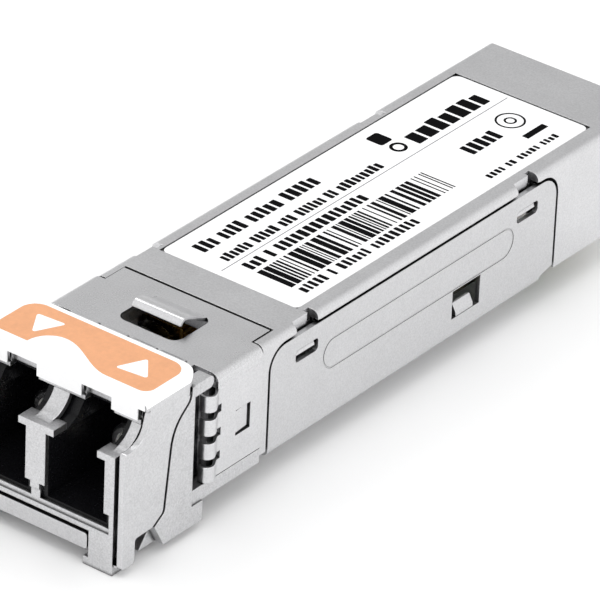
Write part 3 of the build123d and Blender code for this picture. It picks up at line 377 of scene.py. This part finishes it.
def rounded(corners, radius, steps=6, open_ends=False):
    """Outline through the corners, each rounded. Open ends only give their neighbours' way."""
    outline = []
    count = len(corners)
    for i in range(1, count - 1) if open_ends else range(count):
        here = Vector(corners[i])
        before = (Vector(corners[i - 1]) - here).normalized()
        after = (Vector(corners[(i + 1) % count]) - here).normalized()
        half = before.angle(after) / 2
        reach = radius / math.tan(half)
        start, end = here + before * reach, here + after * reach
        centre = here + (before + after).normalized() * (radius / math.sin(half))
        for step in range(steps + 1):
            ray = (start - centre).lerp(end - centre, step / steps).normalized()
            outline.append(tuple(centre + ray * radius))
    return outline


def bar(across, along, radius=0.0):
    """A rectangle from its range across and its range aft, with or without round corners."""
    (left, right), (front, rear) = across, along
    corners = [(left, front), (right, front), (right, rear), (left, rear)]
    return rounded(corners, radius, steps=3) if radius else corners


def ring(centre, outer, inner, quarters=4, steps=7):
    """An annulus as quarter strips, each a closed outline."""
    def arc(radius, angles):
        return [(centre[0] + radius * math.cos(a), centre[1] + radius * math.sin(a))
                for a in angles]

    strips = []
    turns = quarters * steps
    for start in range(0, turns, steps):
        angles = [2 * math.pi * (start + step) / turns for step in range(steps + 1)]
        strips.append(arc(outer, angles) + arc(inner, reversed(angles)))
    return strips


# ---- print on the cover's label: plain blocks and bars where the lines of print would be ----
Line = namedtuple("Line", "across along glyph gap groups")
BOLD_LINES = (
    Line(across=(-4.47, -3.32), along=(20.7, 33.0), glyph=0.50, gap=0.20, groups=(3, 4, 5, 6)),
    Line(across=(-2.40, -1.52), along=(20.8, 38.3), glyph=0.36, gap=0.15,
         groups=(6, 5, 3, 6, 2, 9)),
    Line(across=(-0.68, 0.30), along=(21.0, 33.8), glyph=0.46, gap=0.20, groups=(3, 1, 16)),
    Line(across=(-3.24, -1.66), along=(41.2, 49.6), glyph=0.95, gap=0.24, groups=(9,)),
    Line(across=(0.62, 1.85), along=(42.4, 45.8), glyph=0.60, gap=0.20, groups=(5,)),
)
FINE_LINES = (
    Line(across=(3.78, 4.62), along=(21.0, 33.4), glyph=0.34, gap=0.20, groups=(5, 1, 6, 12)),
    Line(across=(4.05, 4.60), along=(40.6, 48.6), glyph=0.30, gap=0.16, groups=(4, 2, 5, 12)),
)
GLYPH_SPREAD = (0.75, 1.1)  # of a block's width
GLYPH_DROPS = (0.0, 0.0, 0.15)  # share of the line's height that a block may be short by
GLYPH_CORNER = 0.07
WORD_GAP = 2.2  # as a multiple of the gap between blocks
UNDERLINE = bar((2.72, 3.25), (46.5, 48.75))
RULE = bar((-1.14, -1.07), (19.6, 50.1))
BARS_ACROSS, BARS_ALONG = (0.68, 3.50), (20.9, 38.2)
BAR_WIDTHS = (0.11, 0.11, 0.2, 0.2, 0.34, 0.5)
BAR_GAPS = (0.12, 0.14, 0.2, 0.24, 0.36)
TARGET_CENTRE = (0.90, 47.7)  # two rings, one inside the other


def block_line(draw, line):
    """A line of plain blocks in groups, standing where a line of print would be."""
    strokes = []
    left, right = line.across
    here, end = line.along
    for size in line.groups:
        for _ in range(size):
            width = line.glyph * draw.uniform(*GLYPH_SPREAD)
            low = left + (right - left) * draw.choice(GLYPH_DROPS)
            if here + width > end:
                return strokes
            strokes.append(bar((low, right), (here, here + width), GLYPH_CORNER))
            here += width + line.gap
        here += WORD_GAP * line.gap
    return strokes


def bar_row(draw):
    """A row of upright bars of a few widths, drawn at random."""
    bars = []
    here, end = BARS_ALONG
    while here < end:
        width = draw.choice(BAR_WIDTHS)
        bars.append(bar(BARS_ACROSS, (here, here + width)))
        here += width + draw.choice(BAR_GAPS)
    return bars


random_draw = random.Random(7)
bold_blocks = [block for line in BOLD_LINES for block in block_line(random_draw, line)]
fine_blocks = [block for line in FINE_LINES for block in block_line(random_draw, line)]
bars = bar_row(random_draw)
marks = (ring((-2.45, 39.9), 0.62, 0.38) + [bar((-4.75, -3.35), (39.3, 40.5), 0.2)]
         + ring(TARGET_CENTRE, 1.05, 0.90) + ring(TARGET_CENTRE, 0.45, 0.30))

cover_label_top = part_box("cover_label")[1].z
for name, outlines, ink in (("cover_print_blocks", bold_blocks + [UNDERLINE], black_ink),
                            ("cover_print_small_blocks", fine_blocks, black_ink),
                            ("cover_print_bars", bars, black_ink),
                            ("cover_print_mark", marks, black_ink),
                            ("cover_print_rule", [RULE], grey_ink)):
    print_piece(name, outlines, cover_label_top, ink, "housing")


# ---- print on the bail's label: a rounded field with a broad bump let into its front edge ---
FIELD_HALF, FIELD_FRONT, FIELD_REAR = 6.2, 3.05, 7.12
FRONT_CORNER, REAR_CORNER = 0.7, 1.15
BUMP_LEFT, BUMP_PEAK, BUMP_RIGHT = -3.31, -1.60, 2.95  # across, from its steep side
BUMP_HEIGHT = 1.77
ARROWS = (((-4.95, 5.99), (-2.70, 6.16), (-3.76, 4.02)),
          ((3.67, 6.26), (5.10, 4.45), (2.70, 4.18)))
ARROW_CORNER = 0.14


def bump_outline(steps=14):
    """The bump from right to left: a long easy rise, then a quarter of an ellipse."""
    outline = []
    for step in range(steps + 1):
        t = step / steps
        rise = t * t * (3 - 2 * t)
        outline.append((BUMP_RIGHT + (BUMP_PEAK - BUMP_RIGHT) * t, rise))
    for step in range(1, steps + 1):
        angle = math.pi / 2 * step / steps
        outline.append((BUMP_PEAK + (BUMP_LEFT - BUMP_PEAK) * math.sin(angle), math.cos(angle)))
    return [(x, FIELD_FRONT + BUMP_HEIGHT * rise) for x, rise in outline]


def field_outline():
    """The field's outline: its rear corners, its right front corner, the bump, its left one."""
    (rear_left, rear_right), (front_left, front_right) = (
        [(-FIELD_HALF, aft), (FIELD_HALF, aft)] for aft in (FIELD_REAR, FIELD_FRONT))
    rear = rounded([front_left, rear_left, rear_right, front_right], REAR_CORNER,
                   open_ends=True)
    right = rounded([rear_right, front_right, (BUMP_RIGHT, FIELD_FRONT)], FRONT_CORNER,
                    open_ends=True)
    left = rounded([(BUMP_LEFT, FIELD_FRONT), front_left, rear_left], FRONT_CORNER,
                   open_ends=True)
    return rear + right + bump_outline() + left


bail_label_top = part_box("bail_label")[1].z
arrows = [rounded(corners, ARROW_CORNER, steps=4) for corners in ARROWS]
for name, outlines, base, ink in (
        ("bail_print_field", [field_outline()], bail_label_top, orange_ink),
        ("bail_print_arrows", arrows, bail_label_top + INK_DEPTH / 2, white_ink)):
    print_piece(name, outlines, base, ink, "bail")


# ---- floor -----------------------------------------------------------------------------------
FLOOR_HALF = 3.0
FLOOR_GAP = 0.02 * MM  # so that the floor and the module's underside don't share a plane
floor_mesh = bpy.data.meshes.new("floor")
floor_mesh.from_pydata([(x * FLOOR_HALF, y * FLOOR_HALF, 0)
                        for x, y in ((-1, -1), (1, -1), (1, 1), (-1, 1))], [], [(0, 1, 2, 3)])
floor = bpy.data.objects.new("floor", floor_mesh)
floor.location.z = -FLOOR_GAP
bpy.context.scene.collection.objects.link(floor)
floor_shader = Shader("pale_floor", Roughness=0.8)
floor_colour = floor_shader.blend_colours(floor_shader.noise(40.0), (0.93, 0.93, 0.93),
                                          (0.95, 0.95, 0.95))
floor_shader.tree.links.new(floor_colour, floor_shader.bsdf.inputs["Base Color"])
floor_mesh.materials.append(floor_shader.material)


# ---- light -----------------------------------------------------------------------------------
SKY_LEVEL, DIM_LEVEL = 1.05, 0.66
DIM_TOWARD = (-0.51, 0.69, 0.51)  # what the module's top mirrors in the photograph's view
DIM_FROM = 0.35  # cosine of the angle from there at which the sky starts to dim

world = bpy.data.worlds.new("studio")
bpy.context.scene.world = world
world.use_nodes = True
sky = world.node_tree
background = sky.nodes["Background"]
background.inputs["Color"].default_value = (1.0, 1.0, 1.0, 1.0)
direction = sky.nodes.new("ShaderNodeTexCoord").outputs["Generated"]
nearness = sky.nodes.new("ShaderNodeVectorMath")
nearness.operation = "DOT_PRODUCT"
nearness.inputs[1].default_value = Vector(DIM_TOWARD).normalized()
sky.links.new(direction, nearness.inputs[0])
fade = sky.nodes.new("ShaderNodeMapRange")
fade.interpolation_type = "SMOOTHSTEP"
for key, number in (("From Min", DIM_FROM), ("From Max", 1.0), ("To Min", SKY_LEVEL),
                    ("To Max", DIM_LEVEL)):
    fade.inputs[key].default_value = number
sky.links.new(nearness.outputs["Value"], fade.inputs["Value"])
sky.links.new(fade.outputs["Result"], background.inputs["Strength"])


def softbox(name, place, size, power):
    """A rectangular lamp that faces the module."""
    light = bpy.data.lights.new(name, "AREA")
    light.shape = "RECTANGLE"
    light.size, light.size_y = size
    light.energy = power
    lamp = bpy.data.objects.new(name, light)
    bpy.context.scene.collection.objects.link(lamp)
    lamp.location = place
    lamp.rotation_euler = (-Vector(place)).to_track_quat("-Z", "Y").to_euler()


softbox("key_light", place=(0.10, -0.10, 0.55), size=(0.35, 0.35), power=0.6)
softbox("side_light", place=(0.55, 0.05, 0.25), size=(0.30, 0.20), power=0.35)
softbox("strip_light", place=(-0.30, 0.15, 0.35), size=(0.05, 0.40), power=0.3)


# ---- camera: the photograph's viewpoint, and its own right, up and backward directions ------
CAMERA_PLACE = (0.222074, -0.300550, 0.224093)
CAMERA_RIGHT = (0.78890, 0.61332, 0.03846)
CAMERA_UP = (-0.33686, 0.37925, 0.86180)
CAMERA_BACK = (0.51397, -0.69283, 0.50579)
SENSOR_WIDTH, FOCAL_LENGTH = 36.0, 403.9668  # in mm
CLIP_START = 0.01

camera_data = bpy.data.cameras.new("camera")
camera_data.sensor_width = SENSOR_WIDTH
camera_data.lens = FOCAL_LENGTH
camera_data.clip_start = CLIP_START
camera = bpy.data.objects.new("camera", camera_data)
bpy.context.scene.collection.objects.link(camera)
turn = Matrix((CAMERA_RIGHT, CAMERA_UP, CAMERA_BACK)).transposed()
camera.matrix_world = Matrix.LocRotScale(Vector(CAMERA_PLACE), turn.to_quaternion(), None)
bpy.context.scene.camera = camera
bpy.context.scene.view_settings.view_transform = "Standard"
